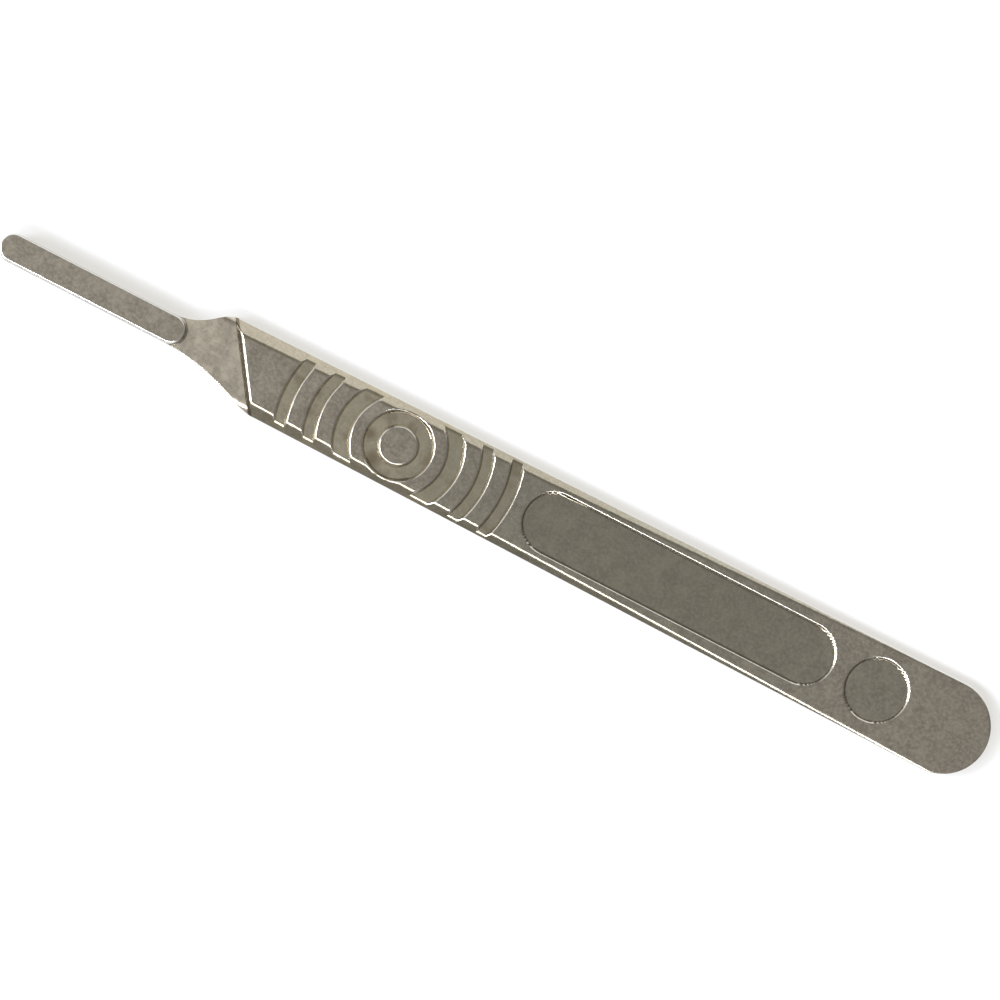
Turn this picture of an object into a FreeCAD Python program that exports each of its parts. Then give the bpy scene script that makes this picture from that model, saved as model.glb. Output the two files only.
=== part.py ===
# A one-piece scalpel handle for large detachable blades, coined and milled from a single bar of metal.
#
# From the tip: a tang with a raised key that the blade slides over, with a blade slot cut under the
# front of the key; a flat neck that flares out to a slanting shoulder, against which the back of the
# blade seats; a grip of concentric ribs and grooves round a centre button, on both faces; a bare
# marking panel and a bare round field on the front face; and a full round tail.
# Both faces fall towards each other from the shoulder to the tail, and flat chamfers run along both
# sides of both faces, so they narrow towards the tail.
#
# The solid is built about its middle plane (z = 0 while building), with x measured from the tip,
# and is then laid on its back face with the origin below the middle of its length.

import FreeCAD
import Part
import math
import os

# Sizes in millimetres, angles in degrees.
# Body
overall_length = 135.0
shoulder_width = 9.98          # across the sides, where the slanting shoulder crosses the middle line
tail_width = 11.74             # across the sides, where the tail's round begins
shoulder_thickness = 3.45      # at the middle of the slanting shoulder
tail_thickness = 1.75          # at the end of the tail
side_wall_height = 1.7         # the upright band between the front and back chamfers
chamfer_angle = 30.0           # of the chamfers, above the faces
chamfer_edge_radius = 0.4      # rounding between the faces and the chamfers
tail_edge_radius = 0.28        # rounding of the face edges where the chamfers run out

# Tang, key and blade slot
tang_width = 3.6
tang_back = -0.15              # height of the tang's back face, from the middle plane
key_ledge = 0.05               # how far the tang stands out beyond the key, all round
key_length = 25.0              # from the tip to the end of the key's heel
key_rise = 0.65                # above the neck
key_edge_radius = 0.26
heel_fillet = 0.3              # in the corner round the key's heel
slot_length = 11.5             # how far the blade slot runs back from the tip
slot_height = 0.42             # takes a 0.4 mm blade
slot_drop = 0.08               # of the slot's floor below the neck
slot_depth = 0.5               # in from the key's sides
slot_runout = 1.6              # radius that the cutter leaves at the back of the slot

# Neck and slanting shoulder
shoulder_station = 33.6        # from the tip to the shoulder's top edge, on the middle line
shoulder_slant = 55.5          # of the shoulder's edge, from the length of the handle
shoulder_wall_angle = 42.0     # of the shoulder's face
shoulder_edge_bevel = 0.12     # between the face and the shoulder, along each
neck_drop = 0.46               # of the neck below the face, at the shoulder
back_flat = 1.2                # flat of the neck's back beside the shoulder
back_ramp = 5.6                # length over which the neck's back rises to the tang's back
upper_neck_radius = 8.2
upper_shoulder_radius = 3.3
lower_neck_radius = 28.0
lower_shoulder_radius = 6.8

# Grip
front_flat = 5.1               # plain face from the shoulder to the first groove, on the middle line
groove_depth = 0.34
groove_draft = 40.0            # of the groove walls, from upright
groove_edge_bevel = 0.1        # on the ribs' edges, along the face and along the wall
button_radius = 2.3
ring_width = 2.15              # the groove round the button
inner_rib_width = 1.45         # the rib round that groove
inner_groove_width = 2.3
rib_width = 1.93
groove_width = 1.78
outer_rib_count = 2            # ribs beyond the inner groove, each followed by a groove

# Marking panel and round field
marking_depth = 0.16
marking_draft = 45.0           # of their walls, from upright
panel_gap = 1.65               # from the grip's last groove to the panel
panel_width = 7.9
field_gap = 1.95               # from the panel to the round field
field_radius = 4.05
field_from_tail = 15.15        # from the field's centre to the end of the tail
marking_offset = 0.15          # of the panel and the field, off the middle line

clear = 5.0                    # how far the cutters reach past the metal

X = FreeCAD.Vector(1, 0, 0)
Y = FreeCAD.Vector(0, 1, 0)
Z = FreeCAD.Vector(0, 0, 1)


def vec(x, y, z=0.0):
    return FreeCAD.Vector(x, y, z)


# What follows from the sizes.
tail_station = overall_length - tail_width / 2
side_taper = math.degrees(
    math.atan((tail_width - shoulder_width) / 2 / (tail_station - shoulder_station)))
face_fall = math.degrees(
    math.atan((shoulder_thickness - tail_thickness) / 2 / (overall_length - shoulder_station)))
chamfer_slope = math.tan(math.radians(chamfer_angle))
tang_half = tang_width / 2
key_half = tang_half - key_ledge
heel_centre = key_length - key_half
neck_level = shoulder_thickness / 2 - neck_drop
shoulder_run = neck_drop / math.tan(math.radians(shoulder_wall_angle))
grip_radius = (button_radius + ring_width + inner_rib_width + inner_groove_width
               + outer_rib_count * (rib_width + groove_width))
grip_centre = shoulder_station + front_flat + grip_radius
panel_front = grip_centre + grip_radius + panel_gap
field_centre = overall_length - field_from_tail
panel_back = field_centre - field_radius - field_gap


def half_width(x):
    """Half the width across the sides at a station."""
    return shoulder_width / 2 + (x - shoulder_station) * math.tan(math.radians(side_taper))


def half_thickness(x):
    """Height of the front face above the middle plane at a station."""
    return shoulder_thickness / 2 - (x - shoulder_station) * math.tan(math.radians(face_fall))


def polygon(points):
    return Part.Face(Part.makePolygon(points + points[:1]))


def rounded_section(points, corner, radius):
    """Closed wire through the points, with the numbered corner rounded by a tangent arc."""
    sharp = points[corner]
    before = (points[corner - 1] - sharp).normalize()
    after = (points[(corner + 1) % len(points)] - sharp).normalize()
    half_angle = before.getAngle(after) / 2
    starts = sharp + before * (radius / math.tan(half_angle))
    ends = sharp + after * (radius / math.tan(half_angle))
    inward = (before + after).normalize()
    middle = sharp + inward * (radius / math.sin(half_angle) - radius)
    edges = [Part.Arc(starts, middle, ends).toShape()]
    rest = [ends] + points[corner + 1:] + points[:corner] + [starts]
    edges += [Part.makeLine(a, b) for a, b in zip(rest, rest[1:])]
    return Part.Wire(edges)


def bevelled_section(points, corner, size):
    """Closed wire through the points, with the numbered corner cut off at a distance each way."""
    sharp = points[corner]
    before = (points[corner - 1] - sharp).normalize()
    after = (points[(corner + 1) % len(points)] - sharp).normalize()
    cut = points[:corner] + [sharp + before * size, sharp + after * size] + points[corner + 1:]
    return Part.makePolygon(cut + cut[:1])


def mirrored(shape):
    """The same feature on the other face."""
    return shape.mirror(vec(0, 0), Z)


def on_front_face(tool, x, y=0.0):
    """Seats a cutter, made with its z = 0 at the face, on the sloping front face."""
    seated = tool.copy()
    seated.Placement = FreeCAD.Placement(vec(x, y, half_thickness(x)), FreeCAD.Rotation(Y, face_fall))
    return seated


def neck_curve(side, neck_radius, shoulder_radius):
    """Two tangent arcs from the tang's side to the handle's side, on one side (+1 or -1).

    Returns the edges from tang to shoulder, and the points where they leave the one and meet the
    other.
    """
    taper = math.radians(side_taper)
    station = shoulder_station - side * half_width(shoulder_station) / math.tan(math.radians(shoulder_slant))
    outward = vec(-math.sin(taper), math.cos(taper))
    meets_side = vec(station, half_width(station))
    outer_centre = meets_side - outward * shoulder_radius
    inner_height = tang_half + neck_radius
    span = neck_radius + shoulder_radius
    start = outer_centre.x - math.sqrt(span ** 2 - (inner_height - outer_centre.y) ** 2)
    inner_centre = vec(start, inner_height)
    towards = (outer_centre - inner_centre).normalize()
    leaves_tang = vec(start, tang_half)
    turns = inner_centre + towards * neck_radius
    inner_middle = inner_centre + (towards - Y).normalize() * neck_radius
    outer_middle = outer_centre + (outward - towards).normalize() * shoulder_radius

    def on_side(p):
        return vec(p.x, side * p.y)

    inner_arc = Part.Arc(on_side(leaves_tang), on_side(inner_middle), on_side(turns))
    outer_arc = Part.Arc(on_side(turns), on_side(outer_middle), on_side(meets_side))
    return [inner_arc.toShape(), outer_arc.toShape()], on_side(leaves_tang), on_side(meets_side)


def plan_outline():
    """The closed outline seen from the front: round tip, neck curves, tapering sides, round tail."""
    upper, upper_tang, upper_shoulder = neck_curve(1, upper_neck_radius, upper_shoulder_radius)
    lower, lower_tang, lower_shoulder = neck_curve(-1, lower_neck_radius, lower_shoulder_radius)
    taper = math.radians(side_taper)
    at_shoulder = half_width(shoulder_station)
    tail_radius = ((at_shoulder + math.tan(taper) * (overall_length - shoulder_station))
                   * math.cos(taper) / (1 + math.sin(taper)))
    tail_centre = overall_length - tail_radius
    ends_side = vec(tail_centre - tail_radius * math.sin(taper), tail_radius * math.cos(taper))
    tip_upper = vec(tang_half, tang_half)
    tip_lower = vec(tang_half, -tang_half)
    edges = [Part.Arc(tip_lower, vec(0, 0), tip_upper).toShape(),
             Part.makeLine(tip_upper, upper_tang)]
    edges += upper
    edges += [Part.makeLine(upper_shoulder, ends_side),
              Part.Arc(ends_side, vec(overall_length, 0), vec(ends_side.x, -ends_side.y)).toShape(),
              Part.makeLine(vec(ends_side.x, -ends_side.y), lower_shoulder)]
    edges += lower
    edges += [Part.makeLine(lower_tang, tip_lower)]
    return Part.Wire(Part.__sortEdges__(edges))


def blank():
    """The tapering bar before any feature is cut: the outline between the two falling faces."""
    deep = shoulder_thickness
    bar = Part.Face(plan_outline()).extrude(Z * (2 * deep))
    bar.translate(Z * -deep)
    ends = (-clear, overall_length + clear)
    section = polygon([vec(ends[0], 0, half_thickness(ends[0])), vec(ends[1], 0, half_thickness(ends[1])),
                       vec(ends[1], 0, -half_thickness(ends[1])), vec(ends[0], 0, -half_thickness(ends[0]))])
    wedge = section.extrude(Y * (4 * tail_width))
    wedge.translate(Y * (-2 * tail_width))
    body = bar.common(wedge)
    rims = []
    for edge in body.Edges:
        middle = edge.valueAt((edge.FirstParameter + edge.LastParameter) / 2)
        on_face = abs(abs(middle.z) - half_thickness(middle.x)) < 1e-6
        if on_face and middle.x > shoulder_station:
            rims.append(edge)
    return body.makeFillet(min(tail_edge_radius, tail_thickness / 4), rims)


def side_chamfer(side):
    """Cutter for the flat chamfer along one side of the front face, rounded into the face.

    Its section follows the falling face, so it is ruled between its two ends.
    """
    foot = side_wall_height / 2
    taper = math.radians(side_taper)

    def section(along):
        def face_height(out):
            return half_thickness(shoulder_station + along * math.cos(taper) - out * math.sin(taper))

        across = (foot - face_height(0)) / (chamfer_slope + face_height(1) - face_height(0))
        points = [vec(along, -clear, face_height(-clear)),
                  vec(along, across, face_height(across)),
                  vec(along, clear, foot - clear * chamfer_slope),
                  vec(along, clear, foot + clear),
                  vec(along, -clear, foot + clear)]
        return rounded_section(points, 1, chamfer_edge_radius)

    cutter = Part.makeLoft([section(-shoulder_station), section(overall_length)], True, True)
    cutter.rotate(vec(0, 0), Z, side_taper)
    cutter.translate(vec(shoulder_station, half_width(shoulder_station)))
    if side < 0:
        cutter = cutter.mirror(vec(0, 0), Y)
    return cutter


def neck_cutter(floor):
    """Cutter for the front of the bar ahead of the slanting shoulder, with its top edge bevelled.

    The floor is given from the foot of the shoulder's face, as (distance, height). The section
    follows the falling face, so it is ruled between its two ends.
    """
    lean = math.radians(90.0 - shoulder_slant)
    wall_slope = math.tan(math.radians(shoulder_wall_angle))

    def section(along):
        def face_height(ahead):
            return half_thickness(shoulder_station - ahead * math.cos(lean) - along * math.sin(lean))

        # The wall leans from the face down to its foot; the sharp edge is where it meets the face.
        rise = face_height(1) - face_height(0)
        edge = (neck_level - face_height(0) + shoulder_run * wall_slope) / (rise + wall_slope)
        points = [vec(clear, along, face_height(-clear)),
                  vec(-edge, along, face_height(edge))]
        points += [vec(-shoulder_run - d, along, h) for d, h in floor]
        points += [vec(points[-1].x, along, shoulder_thickness + clear),
                   vec(clear, along, shoulder_thickness + clear)]
        return bevelled_section(points, 1, shoulder_edge_bevel)

    reach = overall_length / 2
    cutter = Part.makeLoft([section(-reach), section(reach)], True, True)
    cutter.rotate(vec(0, 0), Z, math.degrees(lean))
    cutter.translate(X * shoulder_station)
    return cutter


def neck_cutters():
    """What is taken off the front and the back of the bar ahead of the slanting shoulder."""
    far = overall_length / 2
    front = neck_cutter([(0, neck_level), (far, neck_level)])
    back = neck_cutter([(0, neck_level), (back_flat, neck_level),
                        (back_flat + back_ramp, -tang_back), (far, -tang_back)])
    return front, mirrored(back)


def obround(front_end, back_end, half, z=0.0):
    """Closed outline with two full round ends, along the handle's middle line."""
    front_centre = front_end + half
    back_centre = back_end - half
    upper = [vec(front_centre, half, z), vec(back_centre, half, z)]
    lower = [vec(back_centre, -half, z), vec(front_centre, -half, z)]
    return Part.Wire([Part.Arc(lower[1], vec(front_end, 0, z), upper[0]).toShape(),
                      Part.makeLine(upper[0], upper[1]),
                      Part.Arc(upper[1], vec(back_end, 0, z), lower[0]).toShape(),
                      Part.makeLine(lower[0], lower[1])])


def key():
    """The raised key that the blade slides over, with its rounded top edge."""
    root = neck_level - slot_drop - slot_height
    top = neck_level + key_rise
    bar = Part.Face(obround(key_ledge, key_length, key_half, root)).extrude(Z * (top - root))
    rim = [e for e in bar.Edges if all(abs(v.Point.z - top) < 1e-6 for v in e.Vertexes)]
    return bar.makeFillet(key_edge_radius, rim)


def heel_corner():
    """The fillet in the corner between the key's heel and the neck, a half turn round the heel."""
    hidden = key_half / 2
    foot = neck_level - slot_height / 2
    inner = heel_centre + hidden
    wall = heel_centre + key_half
    rim = wall + heel_fillet
    bulge = heel_fillet * (1 - math.sqrt(0.5))
    edges = [Part.makeLine(vec(inner, 0, foot), vec(rim, 0, foot)),
             Part.makeLine(vec(rim, 0, foot), vec(rim, 0, neck_level)),
             Part.Arc(vec(rim, 0, neck_level), vec(wall + bulge, 0, neck_level + bulge),
                      vec(wall, 0, neck_level + heel_fillet)).toShape(),
             Part.makeLine(vec(wall, 0, neck_level + heel_fillet), vec(inner, 0, neck_level + heel_fillet)),
             Part.makeLine(vec(inner, 0, neck_level + heel_fillet), vec(inner, 0, foot))]
    ring = Part.Face(Part.Wire(edges)).revolve(vec(heel_centre, 0), Z, 180)
    ring.rotate(vec(heel_centre, 0), Z, -90)
    inside = Part.Face(plan_outline()).extrude(Z * (neck_level + key_rise))
    return ring.common(inside)


def blade_slot():
    """Cutter for the slot round the front of the key: a slab less the waist that stays."""
    waist = key_half - slot_depth
    floor = neck_level - slot_drop
    wide = tang_half + clear
    slab = Part.makeBox(slot_length + clear, 2 * wide, slot_height, vec(-clear, -wide, floor))
    core = Part.Face(obround(key_ledge + slot_depth, slot_length + 2 * clear, waist, floor))
    wings = slab.cut(core.extrude(Z * slot_height))
    corners = []
    for edge in wings.Edges:
        middle = edge.CenterOfMass
        beside_waist = abs(middle.x - slot_length) < 1e-6 and abs(abs(middle.y) - waist) < 1e-6
        if beside_waist and edge.Length < slot_height + 1e-6:
            corners.append(edge)
    return wings.makeFillet(slot_runout, corners)


def groove_profile(inner, outer):
    """Section of one groove between two radii, measured at the face, with bevelled lips above."""
    draft = math.radians(groove_draft)
    lean = groove_depth * math.tan(draft)
    out = groove_edge_bevel * math.sin(draft)
    down = groove_edge_bevel * math.cos(draft)
    return polygon([vec(inner - groove_edge_bevel, 0, clear),
                    vec(inner - groove_edge_bevel, 0, 0),
                    vec(inner + out, 0, -down),
                    vec(inner + lean, 0, -groove_depth),
                    vec(outer - lean, 0, -groove_depth),
                    vec(outer - out, 0, -down),
                    vec(outer + groove_edge_bevel, 0, 0),
                    vec(outer + groove_edge_bevel, 0, clear)])


def grip_grooves():
    """Cutters for the concentric grooves of the front grip: full turns about the button's axis."""
    radii = [(button_radius, button_radius + ring_width)]
    inner = radii[0][1] + inner_rib_width
    radii.append((inner, inner + inner_groove_width))
    for _ in range(outer_rib_count):
        inner = radii[-1][1] + rib_width
        radii.append((inner, inner + groove_width))
    return [on_front_face(groove_profile(a, b).revolve(vec(0, 0), Z, 360), grip_centre) for a, b in radii]


def marking_fields():
    """Cutters for the bare marking panel and the bare round field, with sloping walls."""
    lean = marking_depth * math.tan(math.radians(marking_draft))
    half = panel_width / 2
    reach = (panel_back - panel_front) / 2
    panel = Part.makeLoft([obround(-reach + lean, reach - lean, half - lean, -marking_depth),
                           obround(-reach - lean, reach + lean, half + lean, marking_depth)], True, True)
    field = Part.makeCone(field_radius - lean, field_radius + lean, 2 * marking_depth, Z * -marking_depth)
    return [on_front_face(panel, (panel_front + panel_back) / 2, marking_offset),
            on_front_face(field, field_centre, marking_offset)]


def laid_down(shape):
    """Turns the handle so that its back face lies on z = 0, with the origin under mid length."""
    placed = shape.copy()
    placed.rotate(vec(0, 0), Y, face_fall)
    back = vec(shoulder_station, 0, -half_thickness(shoulder_station))
    angle = math.radians(face_fall)
    placed.translate(Z * -(back.z * math.cos(angle) - back.x * math.sin(angle)))
    box = placed.optimalBoundingBox(False, False)
    placed.translate(X * -(box.XMin + box.XMax) / 2)
    return placed


def scalpel_handle():
    front_neck, back_neck = neck_cutters()
    body = blank()
    for side in (1, -1):
        chamfer = side_chamfer(side)
        body = body.cut(chamfer).cut(mirrored(chamfer))
    body = body.cut(front_neck).cut(back_neck)
    for groove in grip_grooves():
        body = body.cut(groove).cut(mirrored(groove))
    body = body.cut(marking_fields())
    body = body.fuse([key(), heel_corner()]).removeSplitter()
    body = body.cut(blade_slot())
    return laid_down(body.Solids[0] if len(body.Solids) == 1 else body)


def main():
    os.makedirs("parts", exist_ok=True)
    handle = scalpel_handle()
    handle.exportStep("parts/scalpel_handle.step")
    box = handle.optimalBoundingBox(False, False)
    print("solids", len(handle.Solids), "valid", handle.isValid(), "volume", round(handle.Volume, 1))
    print("box", [round(v, 3) for v in (box.XMin, box.XMax, box.YMin, box.YMax, box.ZMin, box.ZMax)])


main()
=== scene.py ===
"""A one-piece metal scalpel handle, lying on a pale surface under soft studio light.

The handle is one shell worked out from formulas: a front surface and a back surface, each a height
over the plan, joined by the side wall, and a raised key with a slot under its sides. Its material
is ground and coined metal: fine matt grain, brown stains in the hollows, edges painted bright as
wear and as highlight, and painted shade on the chamfers, on the side wall and, with soiling, in inner
corners.
"""
import math

import bpy
import numpy as np
from mathutils import Matrix, Vector


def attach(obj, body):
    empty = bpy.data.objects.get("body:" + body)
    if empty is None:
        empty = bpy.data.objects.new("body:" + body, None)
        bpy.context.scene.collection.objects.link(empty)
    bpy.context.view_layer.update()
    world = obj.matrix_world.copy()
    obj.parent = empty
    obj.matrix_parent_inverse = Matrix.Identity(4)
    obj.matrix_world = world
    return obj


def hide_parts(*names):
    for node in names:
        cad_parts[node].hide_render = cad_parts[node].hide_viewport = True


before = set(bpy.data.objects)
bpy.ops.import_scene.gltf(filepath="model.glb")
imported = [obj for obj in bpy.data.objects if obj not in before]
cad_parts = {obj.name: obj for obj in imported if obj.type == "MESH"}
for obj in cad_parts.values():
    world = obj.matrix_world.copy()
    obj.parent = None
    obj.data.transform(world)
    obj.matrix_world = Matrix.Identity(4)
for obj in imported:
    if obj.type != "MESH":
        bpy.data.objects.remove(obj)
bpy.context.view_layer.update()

NODE = "scalpel_handle"
MM = 0.001

# Sizes in millimetres; x runs from the tip, z from the middle plane of the bar.
LENGTH = 135.0
SHOULDER_WIDTH, TAIL_WIDTH = 9.98, 11.74
SHOULDER_THICK, TAIL_THICK = 3.45, 1.75
SIDE_WALL = 1.7
CHAMFER_SLOPE = math.tan(math.radians(30.0))
TANG_HALF = 1.8
TANG_BACK = 0.15
KEY_LEDGE, KEY_END, KEY_RISE, KEY_EDGE = 0.05, 25.0, 0.65, 0.26
HEEL_FILLET = 0.3
SLOT_END, SLOT_HIGH, SLOT_DROP, SLOT_DEEP, SLOT_RUNOUT = 11.5, 0.42, 0.08, 0.5, 1.6
SHOULDER_X = 33.6
SLANT = math.radians(55.5)
SHOULDER_SLOPE = math.tan(math.radians(42.0))
NECK_DROP = 0.46
BACK_FLAT, BACK_RAMP = 1.2, 5.6
NECK_RADII = {1: (8.2, 3.3), -1: (28.0, 6.8)}
FRONT_FLAT = 5.1
GROOVE_DEPTH = 0.34
GROOVE_SLOPE = 1 / math.tan(math.radians(40.0))
BUTTON = 2.3
GROOVES = [(2.3, 4.45), (5.9, 8.2), (10.13, 11.91), (13.84, 15.62)]
PANEL_HALF, PANEL_GAP, FIELD_GAP = 3.95, 1.65, 1.95
FIELD_RADIUS, FIELD_FROM_TAIL = 4.05, 15.15
MARKING_DEPTH, MARKING_OFFSET = 0.16, 0.15
TANG_RIM, TAIL_RIM = 0.07, 0.13      # rounding of the outline's rim, small but round the tail

# Heights over which two surfaces blend into each other.
GROOVE_BLEND, MARKING_BLEND, RIDGE_BLEND, SHOULDER_BLEND, RAMP_BLEND = 0.14, 0.08, 0.12, 0.2, 0.08

# What follows from the sizes.
TAIL_X = LENGTH - TAIL_WIDTH / 2
TAPER = math.atan((TAIL_WIDTH - SHOULDER_WIDTH) / 2 / (TAIL_X - SHOULDER_X))
FALL = math.atan((SHOULDER_THICK - TAIL_THICK) / 2 / (LENGTH - SHOULDER_X))
TAIL_RADIUS = ((SHOULDER_WIDTH / 2 + math.tan(TAPER) * (LENGTH - SHOULDER_X))
               * math.cos(TAPER) / (1 + math.sin(TAPER)))
TAIL_CENTRE = LENGTH - TAIL_RADIUS
TAIL_SIDE_END = TAIL_CENTRE - TAIL_RADIUS * math.sin(TAPER)
NECK_LEVEL = SHOULDER_THICK / 2 - NECK_DROP
SHOULDER_RUN = NECK_DROP / SHOULDER_SLOPE
GRIP_X = SHOULDER_X + FRONT_FLAT + GROOVES[-1][1]
PANEL_START = GRIP_X + GROOVES[-1][1] + PANEL_GAP
FIELD_X = LENGTH - FIELD_FROM_TAIL
PANEL_END = FIELD_X - FIELD_RADIUS - FIELD_GAP
KEY_HALF = TANG_HALF - KEY_LEDGE
HEEL_X = KEY_END - KEY_HALF
INNER_ARC = GROOVES[1][0]            # the smallest arc that still crosses the whole width
LIP, FOOT = 0.12, 0.004              # how far grid lines keep from a groove's lip, and from its foot
DULL = -6.0                          # a value of the bulge mask that stands for the side wall, which is painted dark as shade and made rough
BENT_FROM, BENT_TO = (0, 2.0, 3.2), (0, 2.78, 3.2)     # places across, and circles they bend out to


def half_width(x):
    """Half the width across the straight sides: a line rising by the taper from the shoulder."""
    return SHOULDER_WIDTH / 2 + (x - SHOULDER_X) * math.tan(TAPER)


def half_thickness(x):
    """Height of the sloping face over the middle plane: a line falling from the shoulder."""
    return SHOULDER_THICK / 2 - (x - SHOULDER_X) * math.tan(FALL)


def lower_of(a, b, k):
    """The lower of two heights, with a parabola where they are within k: min - (k - |a-b|)^2 / 4k."""
    return np.minimum(a, b) - np.maximum(k - np.abs(a - b), 0) ** 2 / (4 * k)


def higher_of(a, b, k):
    """The higher of two heights, rounded in the same way."""
    return -lower_of(-a, -b, k)


def eased(x, start, end):
    """Cubic ease from 0 at start to 1 at end."""
    t = np.clip((x - start) / (end - start), 0, 1)
    return t * t * (3 - 2 * t)


def side_line(x, side):
    """Plan outline between the round ends, on one side: the tang's straight side, a hollow arc and
    a full arc tangent to each other, and the tapering side."""
    neck_r, shoulder_r = NECK_RADII[side]
    meets = SHOULDER_X - side * half_width(SHOULDER_X) / math.tan(SLANT)
    full_x = meets + math.sin(TAPER) * shoulder_r
    full_y = half_width(meets) - math.cos(TAPER) * shoulder_r
    hollow_y = TANG_HALF + neck_r
    span = neck_r + shoulder_r
    hollow_x = full_x - math.sqrt(span ** 2 - (hollow_y - full_y) ** 2)
    turn = hollow_x + neck_r * (full_x - hollow_x) / span
    hollow = hollow_y - np.sqrt(np.maximum(neck_r ** 2 - (x - hollow_x) ** 2, 0))
    full = full_y + np.sqrt(np.maximum(shoulder_r ** 2 - (x - full_x) ** 2, 0))
    out = np.where(x < turn, hollow, np.where(x < meets, full, half_width(x)))
    return np.where(x < hollow_x, TANG_HALF, out)


def from_outline(x, y):
    """Distance in from the plan outline: from the round ends, and square to the side lines."""
    def to_side(side):
        slope = (side_line(x + 0.01, side) - side_line(x - 0.01, side)) / 0.02
        return (side_line(x, side) - side * y) / np.sqrt(1 + slope ** 2)

    inside = np.minimum(to_side(1), to_side(-1))
    inside = np.where(x < TANG_HALF, TANG_HALF - np.hypot(x - TANG_HALF, y), inside)
    return np.where(x > TAIL_SIDE_END, TAIL_RADIUS - np.hypot(x - TAIL_CENTRE, y), inside)


def rim_radius(x):
    """Rounding of the outline's rim: small on the tang and the chamfers, larger round the tail."""
    return TANG_RIM + (TAIL_RIM - TANG_RIM) * eased(x, 96.0, 128.0)


def groove_cut(x, y):
    """Depth of the concentric grooves: walls down from each groove's two radii, rounded at the lip."""
    rho = np.hypot(x - GRIP_X, y)
    inside = np.max([np.minimum(rho - a, b - rho) for a, b in GROOVES], axis=0)
    return np.minimum(higher_of(inside * GROOVE_SLOPE, 0 * rho, GROOVE_BLEND), GROOVE_DEPTH)


def in_marking(x, y):
    """Distance in from the outline of the bare panel or of the bare round field, which lie at a
    constant distance from the panel's middle line and from the field's centre."""
    middle = (PANEL_START + PANEL_END) / 2
    reach = (PANEL_END - PANEL_START) / 2 - PANEL_HALF
    off = y - MARKING_OFFSET
    panel = PANEL_HALF - np.hypot(np.maximum(np.abs(x - middle) - reach, 0), off)
    field = FIELD_RADIUS - np.hypot(x - FIELD_X, off)
    return np.maximum(panel, field)


def marking_cut(x, y):
    """Depth of the panel and the field: walls at 45 degrees from their outlines, rounded at the lip."""
    return np.minimum(higher_of(in_marking(x, y), 0 * x, MARKING_BLEND), MARKING_DEPTH)


def surface(x, y, front):
    """Height over the middle plane, before the rim is rounded.

    It is the lowest of the sloping face less its grooves, the two flat chamfers, and the slanting
    shoulder with the floor ahead of it, each pair rounded into the other.
    """
    face = half_thickness(x) - groove_cut(x, y)
    if front:
        face = face - marking_cut(x, y)
    foot = SIDE_WALL / 2
    upper = foot + CHAMFER_SLOPE * (half_width(x) - y) * math.cos(TAPER)
    lower = foot + CHAMFER_SLOPE * (half_width(x) + y) * math.cos(TAPER)
    top = lower_of(lower_of(face, upper, RIDGE_BLEND), lower, RIDGE_BLEND)
    ahead = (SHOULDER_X - x) * math.sin(SLANT) - y * math.cos(SLANT)
    floor = NECK_LEVEL + 0 * x
    if front:
        floor = floor - SLOT_DROP * (1 - eased(x, SLOT_END - 0.04, SLOT_END + 0.04))
    else:
        ramp = (ahead - SHOULDER_RUN - BACK_FLAT) * (NECK_LEVEL - TANG_BACK) / BACK_RAMP
        floor = lower_of(floor, NECK_LEVEL - ramp, RAMP_BLEND)
        floor = higher_of(floor, TANG_BACK + 0 * x, RAMP_BLEND)
    wall = NECK_LEVEL + (SHOULDER_RUN - ahead) * SHOULDER_SLOPE
    return lower_of(top, np.maximum(wall, floor), SHOULDER_BLEND)


def ring_sides(x, y):
    """How far a place is in the two parts of the inner groove's outer wall that the grid can't
    follow, beyond the diagonals."""
    rho = np.hypot(x - GRIP_X, y)
    return eased(np.abs(y) / rho.clip(0.1), 0.66, 0.8) * (rho > 3.2) * (rho < INNER_ARC - 0.2)


def shaped(x, y, front):
    """Height with its rim rounded to a quarter circle, the outward direction, and how strongly the
    surface bulges (1 on a sharp outer edge, -1 in a sharp inner corner).

    Slopes are taken over a hair's breadth where the grid follows the features, and over about its
    spacing across the arcs that it can't follow, so that their edges shade evenly.
    """
    round_ends = (((x > PANEL_START - 0.2) & (x < PANEL_START + PANEL_HALF))
                  | ((x > PANEL_END - PANEL_HALF) & (x < FIELD_X + FIELD_RADIUS + 0.2)))
    h = np.where(round_ends, 0.08, 0.003 + 0.1 * ring_sides(x, y))
    z = surface(x, y, front)
    slope_x = (surface(x + h, y, front) - surface(x - h, y, front)) / (2 * h)
    slope_y = (surface(x, y + h, front) - surface(x, y - h, front)) / (2 * h)
    inside = from_outline(x, y)
    in_x = (from_outline(x + h, y) - from_outline(x - h, y)) / (2 * h)
    in_y = (from_outline(x, y + h) - from_outline(x, y - h)) / (2 * h)
    radius = rim_radius(x)
    across = np.clip(radius - inside, 0, radius)
    rise = np.sqrt(np.maximum(radius ** 2 - across ** 2, 0))
    normal = np.stack([-rise * slope_x - across * in_x, -rise * slope_y - across * in_y, rise], -1)
    normal /= np.linalg.norm(normal, axis=-1, keepdims=True)
    w = 0.07                             # reach over which the bulge is taken
    bulge = (4 * z - surface(x + w, y, front) - surface(x - w, y, front)
             - surface(x, y + w, front) - surface(x, y - w, front)) / w
    return z - (radius - rise), normal, np.clip(bulge + across / radius, -1, 1)


# The grid over the plan. Its cross lines follow the features: round at the ends, slanting at
# the shoulder, arcs of the grip's circles, and straight over the panel and the tail.
def arc(radius, sign):
    """Cross line on a circle of the grip: the centre plus or minus the root of radius^2 - y^2."""
    return lambda y: GRIP_X + sign * np.sqrt(np.maximum(radius ** 2 - y ** 2, 0))


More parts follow.
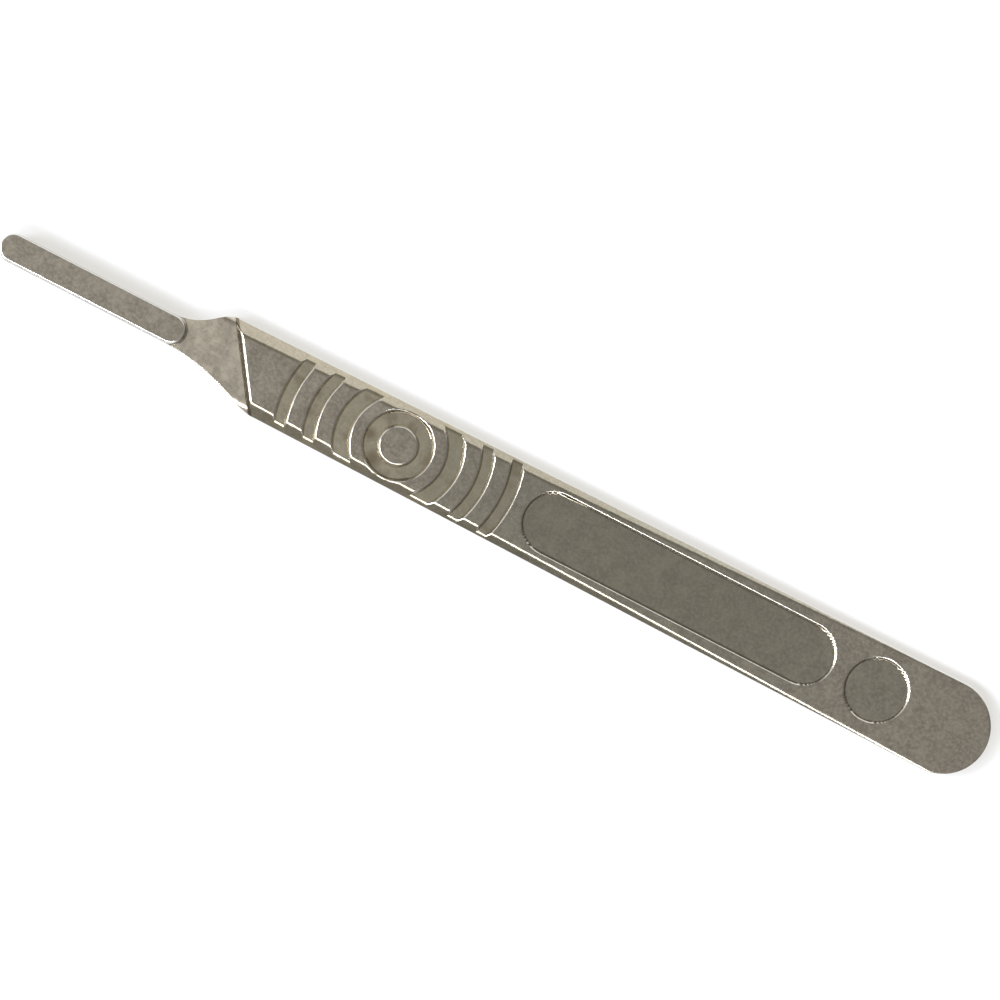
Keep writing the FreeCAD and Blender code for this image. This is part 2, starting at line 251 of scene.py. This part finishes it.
def round_line(radius, sign):
    """Cross line round the button: its circle as far as the diagonals, then on towards the sides
    in proportion to the arc that bounds this part of the grid."""
    bound = INNER_ARC - LIP
    share = radius / bound * (0.7 + 0.3 * (radius / bound) ** 2)
    return lambda y: GRIP_X + sign * np.maximum(np.sqrt(np.maximum(radius ** 2 - y ** 2, 0)),
                                                share * np.sqrt(np.maximum(bound ** 2 - y ** 2, 0)))


def straight(x):
    """Cross line square to the length."""
    return lambda y: x + 0 * y


def slanting(ahead):
    """Cross line along the shoulder, at a distance ahead of its edge."""
    return lambda y: SHOULDER_X - (ahead + y * math.cos(SLANT)) / math.sin(SLANT)


def tip_line(y):
    """Cross line on the round end of the tang."""
    return TANG_HALF - np.sqrt(np.maximum(TANG_HALF ** 2 - y ** 2, 0))


def tail_line(y):
    """Cross line on the round tail."""
    return TAIL_CENTRE + np.sqrt(np.maximum(TAIL_RADIUS ** 2 - y ** 2, 0))


def even(n):
    """The starts of n even steps from 0 to 1."""
    return np.arange(n) / n


QUARTER = 1 - np.sin(np.radians([0, 15, 30, 45, 60, 75, 90]))      # closing up from 1 to 0


def groove_radii(a, b, steps):
    """Radii of the cross lines about one groove, from outside in, each with its steps to the next:
    on both sides of the outer lip, of its foot, of the inner foot and of its lip."""
    run = GROOVE_DEPTH / GROOVE_SLOPE
    return list(zip((b + LIP, b - LIP, b - run + FOOT, b - run - FOOT,
                     a + run + FOOT, a + run - FOOT, a + LIP, a - LIP), steps))


def cross_lines():
    """The cross lines from tip to tail, each with its steps to the next."""
    tip_steps = np.concatenate([TANG_RIM / TANG_HALF * QUARTER[::-1], np.linspace(0.09, 0.92, 8)])
    lines = [(tip_line, tip_steps), (straight(TANG_HALF), even(4)),
             (straight(SLOT_END - 0.1), even(4)), (straight(SLOT_END + 0.1), even(4)),
             (straight(KEY_END - 3.4), even(11)), (straight(KEY_END + 0.6), even(11)),
             (slanting(SHOULDER_RUN + 0.3), even(2)), (slanting(SHOULDER_RUN + FOOT), even(1)),
             (slanting(SHOULDER_RUN - FOOT), even(3)), (slanting(0.2), even(7)),
             (slanting(-0.25), even(4))]
    radii = []
    for a, b in reversed(GROOVES[1:]):
        radii += groove_radii(a, b, (7, 2, 1, 6, 1, 2, 7, 5))
    radii[-1] = (radii[-1][0], 9)        # more steps from the last arc to the lines round the button
    rounds = groove_radii(*GROOVES[0], (6, 2, 1, 8, 1, 2, 6, 12))
    lines += [(arc(radius, -1), even(n)) for radius, n in radii]
    lines += [(round_line(radius, -1), even(n)) for radius, n in rounds]
    lines += [(straight(GRIP_X), even(rounds[-1][1]))]
    lines += [(round_line(rounds[k][0], 1), even(rounds[k - 1][1]))
              for k in range(len(rounds) - 1, 0, -1)]
    lines += [(round_line(rounds[0][0], 1), even(radii[-1][1]))]
    lines += [(arc(radii[k][0], 1), even(radii[k - 1][1])) for k in range(len(radii) - 1, 0, -1)]
    lines += [(arc(radii[0][0], 1), even(6)),
              (straight(PANEL_START - 0.2), even(42)), (straight(PANEL_START + PANEL_HALF), even(8)),
              (straight(PANEL_END - PANEL_HALF), even(42)), (straight(PANEL_END + 0.2), even(4)),
              (straight(FIELD_X - FIELD_RADIUS - 0.15), even(76)),
              (straight(FIELD_X + FIELD_RADIUS + 0.15), even(6))]
    tail_steps = np.concatenate([even(16) * (1 - 0.16 / TAIL_RADIUS),
                                 1 - TAIL_RIM / TAIL_RADIUS * QUARTER])
    return lines + [(straight(TAIL_CENTRE), tail_steps), (tail_line, None)]


def features(x, side):
    """The panel's wall, its gap to the ridge, the chamfer's ridge and its bevel's share, the
    outline and the rim's radius, across on one side at a station."""
    edge = side_line(np.clip(x, TANG_HALF, TAIL_SIDE_END), side)
    rim = rim_radius(x)
    chamfer = np.minimum((half_thickness(x) - SIDE_WALL / 2) / CHAMFER_SLOPE, 0.28 * edge)
    ridge = edge - np.maximum(chamfer, rim + 0.12)
    wall = np.minimum(PANEL_HALF + side * MARKING_OFFSET, ridge - 0.35)
    gap = np.minimum(1, (ridge - wall) / 0.6)
    bevel = np.minimum(1, (edge - rim - ridge) / 0.45)
    return np.stack([wall, gap, ridge, bevel, edge, rim], -1)


def inner_shares():
    """Shares of the way out at which the inner long lines lie, close where they are to follow the
    button's lip and the foot of its wall."""
    wall, gap = features(GRIP_X + np.zeros(1), 1)[0, :2]
    foot = BUTTON + GROOVE_DEPTH / GROOVE_SLOPE
    radii = np.concatenate([(BUTTON - LIP) * even(9), BUTTON + np.linspace(-LIP, LIP, 5),
                            [foot - FOOT, foot + FOOT]])
    outermost = wall - 0.24 * gap
    return np.concatenate([np.interp(radii, BENT_TO, BENT_FROM),
                           np.linspace(2.02, outermost, 6, endpoint=False)]) / outermost


def long_line_weights():
    """How each long line's place is weighed from the wall, its gap, the ridge, the bevel's share,
    the outline and the rim's radius: close about the three features, even in between."""
    wall, gap, ridge, bevel, edge, rim = np.eye(6)
    at_wall = [wall + k * gap for k in (-0.24, -0.19, -0.14, -0.1, -0.05, 0, 0.05, 0.12)]
    at_ridge = [ridge + k * (gap if k < 0 else bevel)
                for k in (-0.24, -0.15, -0.07, 0, 0.07, 0.15, 0.24)]
    at_edge = [edge - k * rim for k in QUARTER]
    inner = [at_wall[0] * k for k in inner_shares()]
    middle = [at_wall[-1] + (at_ridge[0] - at_wall[-1]) * k / 5 for k in range(1, 5)]
    outer = [at_ridge[-1] + (at_edge[0] - at_ridge[-1]) * k / 6 for k in range(1, 6)]
    return np.array(inner + at_wall + middle + at_ridge + outer + at_edge)


def across_lines(x, side):
    """Places of the long lines on one side of the middle line, where each meets its own station:
    weighed from the features there, and bent out round the button on a circle of its own."""
    weights = long_line_weights()
    radii = np.interp(features(GRIP_X + np.zeros(1), side) @ weights.T, BENT_FROM, BENT_TO)
    bent = np.sqrt(np.maximum(radii ** 2 - (x - GRIP_X) ** 2, 0))
    return side * np.maximum(np.einsum("nmk,mk->nm", features(x, side), weights), bent)


def plan_grid():
    """Stations and places across of the whole grid: each cross line is met by each long line, found
    by taking the place on one and then on the other, forty times over."""
    lines = cross_lines()
    pairs = [(lines[k][0], lines[k + 1][0], t) for k in range(len(lines) - 1) for t in lines[k][1]]

    def stations(y):
        return np.stack([(1 - t) * a(row) + t * b(row) for (a, b, t), row in zip(pairs, y)])

    half = len(long_line_weights()) - 1
    y = np.zeros((len(pairs), 2 * half + 1))
    for _ in range(40):
        x = stations(y)
        lower = across_lines(x[:, half::-1], -1)[:, :0:-1]
        y = 0.4 * y + 0.6 * np.concatenate([lower, across_lines(x[:, half:], 1)], 1)
    return stations(y), y


def laid(points, shift=True):
    """Turns points of the bar so that its back lies on the ground, under the middle of its length;
    with shift off, only their directions turn."""
    c, s = math.cos(FALL), math.sin(FALL)
    x, y, z = points[..., 0], points[..., 1], points[..., 2]
    middle = (LENGTH * c + (TAIL_THICK / 2 - TAIL_RIM - TANG_BACK) * s) / 2
    lift = SHOULDER_THICK / 2 * c + SHOULDER_X * s
    return np.stack([x * c + z * s - middle * shift, y, z * c - x * s + lift * shift], -1)


def four_sided(a, b, c, d):
    """Faces with four corners, taken in turn from four arrays of point numbers."""
    return np.stack([a, b, c, d], -1).reshape(-1, 4).tolist()


def bar_shell():
    """Points, outward directions, finish masks and faces of the bar: the front's grid, the back's
    grid with every second long line, and the side wall between them, closed at both ends."""
    x, y = plan_grid()
    front_z, front_n, front_bulge = shaped(x, y, True)
    xb, yb = x[:, ::2], y[:, ::2]
    back_z, back_n, back_bulge = shaped(xb, yb, False)
    points = np.concatenate([np.stack([x, y, front_z], -1).reshape(-1, 3),
                             np.stack([xb, yb, -back_z], -1).reshape(-1, 3)])
    normals = np.concatenate([front_n.reshape(-1, 3), (back_n * (1, 1, -1)).reshape(-1, 3)])

    def masks(x, y, z, bulge, front):
        """How far each point is in a groove, in the panel or the field, on the neck, on a bulge and
        on a flank; the flank darkens the chamfers as painted shade. The bulge is lowered, and so the
        metal painted darker as shade, on the shoulder's wall, on the ledge beside the key and where the
        walls of the ring and of the recesses meet their floors."""
        ahead = (SHOULDER_X - x) * math.sin(SLANT) - y * math.cos(SLANT)
        flank = eased(np.abs(y) - half_width(x) + 0.1 + (z - SIDE_WALL / 2) / CHAMFER_SLOPE, -0.25, 0)
        foot = np.abs(np.hypot(x - GRIP_X, y) - GROOVES[0][1] + GROOVE_DEPTH / GROOVE_SLOPE + 0.02)
        wall = eased(ahead, 0.12, 0.18) * (1 - eased(ahead, SHOULDER_RUN, SHOULDER_RUN + 0.06))
        ledge = 1 - eased(x, HEEL_X, KEY_END)
        ring_foot = ring_sides(x, y) * (1 - eased(foot, 0.08, 0.2))
        marking_foot = front * (1 - eased(np.abs(in_marking(x, y) - 0.2), 0.05, 0.12))
        # painted shade where the bulge is lowered
        bulge = bulge - 2 * wall - 2 * ledge - 2 * ring_foot - 1.5 * marking_foot
        for outline in (bulge[0], bulge[-1], bulge[:, 0], bulge[:, -1]):
            outline[:] = DULL            # the side wall, between the outlines of the two faces, painted dark as shade
        # the chamfers' painted shade weakens towards the tail
        flank = flank * (1 - 0.8 * eased(x, 60, 112))
        return np.stack([groove_cut(x, y) / GROOVE_DEPTH, marking_cut(x, y) / MARKING_DEPTH * front,
                         eased(ahead, SHOULDER_RUN - 0.05, SHOULDER_RUN + 0.05), bulge,
                         flank * eased(-ahead, -0.3, 0)], -1).reshape(-1, 5)

    finish = np.concatenate([masks(x, y, front_z, front_bulge, 1),
                             masks(xb, yb, back_z, back_bulge, 0)])
    front = np.arange(x.size).reshape(x.shape)
    back = x.size + np.arange(xb.size).reshape(xb.shape)
    tip = len(cross_lines()[0][1])
    for grid in (front, back):           # all cross lines of the round tip end at the same two places
        grid[:tip, 0], grid[:tip, -1] = grid[tip, 0], grid[tip, -1]
    faces = (four_sided(front[:-1, :-1], front[1:, :-1], front[1:, 1:], front[:-1, 1:])
             + four_sided(back[:-1, :-1], back[:-1, 1:], back[1:, 1:], back[1:, :-1])
             + four_sided(front[:-1, 0], back[:-1, 0], back[1:, 0], front[1:, 0])
             + four_sided(front[1:, -1], back[1:, -1], back[:-1, -1], front[:-1, -1])
             + np.stack([front[0, :-2:2], front[0, 1:-1:2], front[0, 2::2], back[0, 1:], back[0, :-1]],
                        -1).tolist()
             + np.stack([back[-1, :-1], back[-1, 1:], front[-1, 2::2], front[-1, 1:-1:2],
                         front[-1, :-2:2]], -1).tolist())
    return points, normals, finish, faces


def key_shell():
    """Points, finish masks and faces of the raised key: a profile carried round an obround path.

    The profile runs from the flat top over a rounded edge and down the side. In front it turns into
    the slot, which runs out in an arc; at the heel it flares into a hollow corner on the neck, no
    wider than the outline allows. Top and underside are closed straight across.
    """
    along = np.concatenate([KEY_LEDGE + KEY_HALF * (1 - np.cos(np.radians(np.linspace(0, 90, 19)))),
                            np.linspace(3, 9.6, 6), np.linspace(9.9, SLOT_END - 0.3, 9),
                            np.linspace(12, 22.5, 5),
                            HEEL_X + KEY_HALF * np.sin(np.radians(np.linspace(0, 90, 27)))])
    core = np.clip(along, KEY_LEDGE + KEY_HALF, HEEL_X)
    reach = np.sqrt(np.maximum(KEY_HALF ** 2 - (along - core) ** 2, 0))
    x = np.concatenate([along, along[-2:0:-1]])
    y = np.concatenate([reach, -reach[-2:0:-1]])
    out = np.stack([x - np.clip(x, KEY_LEDGE + KEY_HALF, HEEL_X), y], -1) / KEY_HALF
    runout = SLOT_RUNOUT - np.sqrt(SLOT_RUNOUT ** 2
                                   - np.clip(x - (SLOT_END - SLOT_RUNOUT), 0, SLOT_RUNOUT) ** 2)
    slot = np.clip(SLOT_DEEP - runout, 0, SLOT_DEEP)
    in_slot = np.clip(slot / 0.05, 0, 1)
    room = np.maximum(from_outline(x, y) - 0.01, 0) * eased(x, HEEL_X - 1.0, HEEL_X - 0.2)
    top = NECK_LEVEL + KEY_RISE
    roof = NECK_LEVEL - SLOT_DROP + SLOT_HIGH
    turn = np.radians(np.linspace(0, 90, 9))
    rim = KEY_EDGE * (0.8 - 0.25 * out[:, 1])             # worn wider on the lower side
    # Each ring: how far out, its share of the slot's depth, its height in front and at the heel.
    rings = [(-rim - 0.03, 0, top, top)]
    rings += [(-rim * (1 - math.sin(a)), 0) + (top - KEY_EDGE * (1 - math.cos(a)),) * 2 for a in turn]
    rings += [(0, 0, roof + 0.03, NECK_LEVEL + 0.3), (0, 0.02, roof + 0.01, NECK_LEVEL + 0.22),
              (0, 0.06, roof, NECK_LEVEL + 0.15), (0, 1, roof, NECK_LEVEL + 0.09),
              (0, 1, roof - 0.1, NECK_LEVEL + 0.045), (0, 1, NECK_LEVEL - 0.05, NECK_LEVEL + 0.015),
              (0, 1, NECK_LEVEL - 0.1, NECK_LEVEL), (0, 1, NECK_LEVEL - 0.3, NECK_LEVEL - 0.3)]
    loops = []
    for inset, deep, slot_z, heel_z in rings:
        low = min(max(NECK_LEVEL + HEEL_FILLET - heel_z, 0), HEEL_FILLET)
        flare = np.minimum(HEEL_FILLET - math.sqrt(HEEL_FILLET ** 2 - low ** 2), room)
        offset = inset - deep * slot + (flare if deep or np.all(inset == 0) else 0)
        z = heel_z + (slot_z - heel_z) * in_slot
        loops.append(np.stack([x + offset * out[:, 0], y + offset * out[:, 1], z], -1))
    points = np.concatenate(loops)
    count, side = len(x), len(along)
    ring = np.arange(len(points)).reshape(-1, count)
    after = np.roll(ring, -1, axis=1)
    faces = four_sided(ring[:-1], after[:-1], after[1:], ring[1:])
    for loop, flip in ((ring[0], 1), (ring[-1], -1)):
        upper = loop[:side]
        lower = np.concatenate([loop[:1], loop[:side - 2:-1]])
        strips = np.stack([upper[:-1], upper[1:], lower[1:], lower[:-1]], -1)[:, ::-flip]
        faces += strips.tolist()
    finish = np.tile([0, 0, 0.12, 0, 0], (len(points), 1))      # a little of the neck's tone
    finish[count:count * len(turn), 3] = 1                      # the rounded edge is painted bright, as wear and as a highlight
    return points, finish, faces


def handle_mesh():
    """The bar and its key as one mesh, with its outward directions and the finish masks on it. A
    corner that a face repeats counts once, and points that no face uses are left out."""
    points, normals, finish, faces = bar_shell()
    key_points, key_finish, key_faces = key_shell()
    faces = faces + [[k + len(points) for k in face] for face in key_faces]
    faces = [face for face in (list(dict.fromkeys(face)) for face in faces) if len(face) > 2]
    points = np.concatenate([points, key_points])
    normals = np.concatenate([laid(normals, False), np.zeros((len(key_points), 3))])
    finish = np.concatenate([finish, key_finish])
    used = np.unique([corner for face in faces for corner in face])
    number = np.zeros(len(points), int)
    number[used] = np.arange(len(used))
    mesh = bpy.data.meshes.new("handle")
    mesh.from_pydata(laid(points[used]) * MM, [], [number[face].tolist() for face in faces])
    mesh.shade_smooth()
    for column, name in enumerate(("groove", "marking", "neck", "bulge", "flank")):
        layer = mesh.attributes.new(name, "FLOAT", "POINT")
        layer.data.foreach_set("value", np.ascontiguousarray(finish[used, column], dtype=np.float32))
    mesh.normals_split_custom_set_from_vertices(normals[used])
    mesh.update()
    return mesh


def mesh_object(name, mesh):
    """An object of the scene that shows a mesh."""
    piece = bpy.data.objects.new(name, mesh)
    bpy.context.scene.collection.objects.link(piece)
    return piece


COLOURS = {                          # of the metal's finish, and of painted shade and highlight, in linear light
    "dark_speck": (0.44, 0.397, 0.33),
    "pale_speck": (0.63, 0.583, 0.50),
    "mottle": (0.66, 0.60, 0.50),
    "groove": (0.66, 0.605, 0.45),
    "stain": (0.30, 0.235, 0.15),
    "recess": (0.37, 0.36, 0.275),
    "neck": (0.80, 0.73, 0.60),
    # painted shade: the chamfers are darker
    "chamfer": (0.38, 0.345, 0.25),
    # darker over the middle of the length
    "darker_middle": (0.31, 0.305, 0.24),
    # edges: wear, and a painted highlight
    "wear_and_highlight": (0.95, 0.94, 0.91),
    # inner corners, walls and the side wall: soiling, and painted shade
    "dirt_and_shade": (0.16, 0.13, 0.09),
}
# Centres and radii, in metres, of two brown spots in the groove round the button.
SPOTS = [((-0.0153, -0.0029, 0.0031), 0.0017), ((-0.0169, -0.0002, 0.0031), 0.0012)]


def metal_finish():
    """Node group of the metal's finish: from the place on the handle and the masks it gives the
    colour, the roughness and the height of the grain.

    Over a speckled and mottled grey lie, in this order: the grooves' tone and their stains, the
    recesses' tone, the pale neck, the chamfers painted darker as shade, a darker stretch over the
    middle of the length where the panel lies, the edges painted bright as wear and as highlight, and
    dark paint for soiling and shade in inner corners, on the walls and on the side wall.
    """
    group = bpy.data.node_groups.new("metal_finish", "ShaderNodeTree")
    for name, kind in (("Place", "NodeSocketVector"), ("Groove", "NodeSocketFloat"),
                       ("Marking", "NodeSocketFloat"), ("Neck", "NodeSocketFloat"),
                       ("Bulge", "NodeSocketFloat"), ("Flank", "NodeSocketFloat")):
        group.interface.new_socket(name=name, in_out="INPUT", socket_type=kind)
    for name, kind in (("Colour", "NodeSocketColor"), ("Roughness", "NodeSocketFloat"),
                       ("Grain", "NodeSocketFloat")):
        group.interface.new_socket(name=name, in_out="OUTPUT", socket_type=kind)
    nodes, links = group.nodes, group.links
    given = nodes.new("NodeGroupInput")
    result = nodes.new("NodeGroupOutput")

    def noise(scale, detail, roughness):
        """Noise with so many cells to the metre."""
        node = nodes.new("ShaderNodeTexNoise")
        node.inputs["Scale"].default_value = scale
        node.inputs["Detail"].default_value = detail
        node.inputs["Roughness"].default_value = roughness
        links.new(given.outputs["Place"], node.inputs["Vector"])
        return node.outputs["Fac"]

    def plug(value, socket):
        if isinstance(value, (int, float)):
            socket.default_value = value
        else:
            links.new(value, socket)

    def calc(operation, a, b=0.0, clamp=False):
        node = nodes.new("ShaderNodeMath")
        node.operation = operation
        node.use_clamp = clamp
        plug(a, node.inputs[0])
        plug(b, node.inputs[1])
        return node.outputs[0]

    def ranged(value, low, high, to_low, to_high):
        """Smooth step that takes low to to_low and high to to_high."""
        node = nodes.new("ShaderNodeMapRange")
        node.interpolation_type = "SMOOTHSTEP"
        ends = {"From Min": low, "From Max": high, "To Min": to_low, "To Max": to_high}
        for name, number in ends.items():
            node.inputs[name].default_value = number
        plug(value, node.inputs["Value"])
        return node.outputs["Result"]

    def spot(centre, radius):
        """Soft round spot, strongest in the middle."""
        node = nodes.new("ShaderNodeVectorMath")
        node.operation = "DISTANCE"
        links.new(given.outputs["Place"], node.inputs[0])
        node.inputs[1].default_value = centre
        return ranged(node.outputs["Value"], 0.2 * radius, radius, 0.75, 0.0)

    def mixed(share, a, b):
        node = nodes.new("ShaderNodeMix")
        node.data_type = "RGBA"
        plug(share, node.inputs[0])
        for value, socket in ((a, node.inputs[6]), (b, node.inputs[7])):
            if isinstance(value, str):
                socket.default_value = (*COLOURS[value], 1)
            else:
                links.new(value, socket)
        return node.outputs[2]

    grain = noise(4200, 3, 0.65)
    speckle = noise(2300, 4, 0.7)
    mottle = noise(520, 5, 0.6)
    cloud = noise(300, 3, 0.6)
    along = nodes.new("ShaderNodeSeparateXYZ")
    links.new(given.outputs["Place"], along.inputs[0])
    # a darker stretch over the middle of the length
    middle_darkening = calc("SUBTRACT", ranged(along.outputs["X"], -0.018, 0.003, 0.0, 0.32),
                ranged(along.outputs["X"], 0.03, 0.055, 0.0, 0.32))
    colour = mixed(ranged(speckle, 0.35, 0.68, 0.0, 1.0), "dark_speck", "pale_speck")
    colour = mixed(ranged(mottle, 0.42, 0.66, 0.0, 0.3), colour, "mottle")
    colour = mixed(calc("MULTIPLY", given.outputs["Groove"], 0.6), colour, "groove")
    spots = calc("MAXIMUM", *(spot(centre, radius) for centre, radius in SPOTS))
    stain = calc("MAXIMUM", ranged(cloud, 0.5, 0.68, 0.0, 0.5), spots)
    stain = calc("MULTIPLY", given.outputs["Groove"], stain)
    colour = mixed(stain, colour, "stain")
    colour = mixed(calc("MULTIPLY", given.outputs["Marking"], 0.3), colour, "recess")
    colour = mixed(calc("MULTIPLY", given.outputs["Neck"], ranged(mottle, 0.36, 0.62, 0.2, 0.7)),
                   colour, "neck")
    # painted shade: the chamfers are darkened
    colour = mixed(calc("MULTIPLY", given.outputs["Flank"], 0.6), colour, "chamfer")
    colour = mixed(middle_darkening, colour, "darker_middle")
    # edges painted bright: wear, and a painted highlight for the glints
    wear_and_highlight_share = ranged(given.outputs["Bulge"], 0.1, 0.6, 0.0, 0.9)
    colour = mixed(wear_and_highlight_share, colour, "wear_and_highlight")
    # painted shade, with soiling, where the bulge is low
    dirt_and_shade_share = ranged(given.outputs["Bulge"], -0.4, -1.6, 0.0, 0.85)
    colour = mixed(dirt_and_shade_share, colour, "dirt_and_shade")
    links.new(colour, result.inputs["Colour"])
    rough = ranged(mottle, 0.3, 0.7, 0.235, 0.265)
    rough = calc("ADD", rough, calc("MULTIPLY", given.outputs["Neck"], 0.04))
    rough = calc("SUBTRACT", rough, calc("MULTIPLY", given.outputs["Marking"], 0.02))
    rough = calc("SUBTRACT", rough, calc("MULTIPLY", wear_and_highlight_share, 0.08))
    rough = calc("ADD", rough, ranged(given.outputs["Bulge"], DULL + 2, DULL, 0.0, 0.3), clamp=True)
    links.new(rough, result.inputs["Roughness"])
    height = calc("ADD", calc("MULTIPLY", grain, 0.5), calc("MULTIPLY", mottle, 0.5))
    links.new(height, result.inputs["Grain"])
    return group


def handle_metal():
    """Matt ground metal whose finish comes from the group; the grain is 0.03 mm high at most."""
    material = bpy.data.materials.new("handle_metal")
    material.use_nodes = True
    nodes, links = material.node_tree.nodes, material.node_tree.links
    shader = nodes["Principled BSDF"]
    shader.inputs["Metallic"].default_value = 1.0
    place = nodes.new("ShaderNodeTexCoord")
    finish = nodes.new("ShaderNodeGroup")
    finish.node_tree = metal_finish()
    links.new(place.outputs["Object"], finish.inputs["Place"])
    for name in ("groove", "marking", "neck", "bulge", "flank"):
        layer = nodes.new("ShaderNodeAttribute")
        layer.attribute_name = name
        links.new(layer.outputs["Fac"], finish.inputs[name.capitalize()])
    bump = nodes.new("ShaderNodeBump")
    bump.inputs["Strength"].default_value = 1.0
    bump.inputs["Distance"].default_value = 0.03 * MM
    links.new(finish.outputs["Grain"], bump.inputs["Height"])
    links.new(finish.outputs["Colour"], shader.inputs["Base Color"])
    links.new(finish.outputs["Roughness"], shader.inputs["Roughness"])
    links.new(bump.outputs["Normal"], shader.inputs["Normal"])
    return material


GLOW = 0.66                          # what the paper's lit matt share lacks of full white
WARM_WHITE = (1.0, 0.97, 0.91, 1)


def floor_paper():
    """White paper: a weak matt share that takes the shadow, with what it lacks of full white added
    as a glow where the camera, a gloss or a clear piece sees it, so that the shadow stays pale."""
    material = bpy.data.materials.new("white_paper")
    material.use_nodes = True
    nodes, links = material.node_tree.nodes, material.node_tree.links
    nodes.clear()
    matt = nodes.new("ShaderNodeBsdfDiffuse")
    matt.inputs["Color"].default_value = (0.26, 0.28, 0.32, 1)
    glow = nodes.new("ShaderNodeEmission")
    glow.inputs["Color"].default_value = WARM_WHITE
    seen = nodes.new("ShaderNodeLightPath")
    either = nodes.new("ShaderNodeMath")
    either.operation = "ADD"
    links.new(seen.outputs["Is Camera Ray"], either.inputs[0])
    links.new(seen.outputs["Is Glossy Ray"], either.inputs[1])
    any_of = nodes.new("ShaderNodeMath")
    any_of.operation = "ADD"
    any_of.use_clamp = True
    links.new(either.outputs[0], any_of.inputs[0])
    links.new(seen.outputs["Is Transmission Ray"], any_of.inputs[1])
    share = nodes.new("ShaderNodeMath")
    share.operation = "MULTIPLY"
    share.inputs[1].default_value = GLOW
    links.new(any_of.outputs[0], share.inputs[0])
    links.new(share.outputs[0], glow.inputs["Strength"])
    both = nodes.new("ShaderNodeAddShader")
    links.new(matt.outputs[0], both.inputs[0])
    links.new(glow.outputs[0], both.inputs[1])
    out = nodes.new("ShaderNodeOutputMaterial")
    links.new(both.outputs[0], out.inputs["Surface"])
    return material


def softbox(name, place, size, level):
    """A rectangular lamp facing the handle, whose surface has the given brightness (white is 1)."""
    data = bpy.data.lights.new(name, "AREA")
    data.shape = "RECTANGLE"
    data.size, data.size_y = size
    data.energy = level * math.pi * size[0] * size[1]
    lamp = bpy.data.objects.new(name, data)
    facing = -Vector(place)
    lamp.matrix_world = Matrix.Translation(place) @ facing.to_track_quat("-Z", "Y").to_matrix().to_4x4()
    lamp.visible_camera = False
    bpy.context.scene.collection.objects.link(lamp)


def studio():
    """White paper floor, a grey room, three bright boxes on the near and the left side that make
    the glints, and broad pale panels on the far side, on the left and overhead."""
    rows = np.linspace(-3, 3, 13)        # of the floor's points, in metres
    x, y = np.meshgrid(rows, rows, indexing="ij")
    grid = np.arange(x.size).reshape(x.shape)
    mesh = bpy.data.meshes.new("floor")
    mesh.from_pydata(np.stack([x, y, 0 * x], -1).reshape(-1, 3), [],
                     four_sided(grid[:-1, :-1], grid[1:, :-1], grid[1:, 1:], grid[:-1, 1:]))
    mesh.materials.append(floor_paper())
    mesh_object("floor", mesh)
    world = bpy.data.worlds.new("room")
    world.use_nodes = True
    background = world.node_tree.nodes["Background"]
    background.inputs["Color"].default_value = WARM_WHITE
    background.inputs["Strength"].default_value = 0.21
    bpy.context.scene.world = world
    softbox("near_box", (0.02, -0.50, 0.86), (0.60, 0.18), 12.0)
    softbox("corner_box", (-0.38, -0.50, 0.77), (0.24, 0.24), 20.0)
    softbox("left_box", (-0.645, -0.30, 0.70), (0.28, 0.28), 34.0)
    softbox("side_panel", (0.0, 1.2, 0.55), (1.8, 0.6), 1.15)
    softbox("overhead", (0.0, 0.30, 1.15), (1.0, 1.0), 0.10)
    softbox("left_panel", (-1.1, 0.1, 0.50), (1.2, 0.8), 0.8)


def photo_camera():
    """The photograph's view: all but straight down, with the handle's length running down to the
    right across the frame."""
    turn, tilt = math.radians(27.2), math.radians(0.5)
    aim = Vector((0.9, -0.18, 1.9))      # this and the next three are in millimetres
    distance, frame_width, sensor = 600.0, 122.01, 36.0
    data = bpy.data.cameras.new("photo_camera")
    data.sensor_width = sensor
    data.lens = sensor * distance / frame_width
    data.clip_start, data.clip_end = 0.01, 20.0
    camera = bpy.data.objects.new("photo_camera", data)
    backward = Vector((0, -math.sin(tilt), math.cos(tilt)))
    right = Vector((math.cos(turn), math.sin(turn) * math.cos(tilt), math.sin(turn) * math.sin(tilt)))
    up = backward.cross(right)
    camera.matrix_world = Matrix((right, up, backward)).transposed().to_4x4()
    camera.matrix_world.translation = (aim + backward * distance) * MM
    bpy.context.scene.collection.objects.link(camera)
    bpy.context.scene.camera = camera


bpy.context.scene.view_settings.view_transform = "Standard"
photo_camera()
studio()
handle = mesh_object("handle", handle_mesh())
handle.data.materials.append(handle_metal())
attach(handle, "root")
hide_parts(NODE)
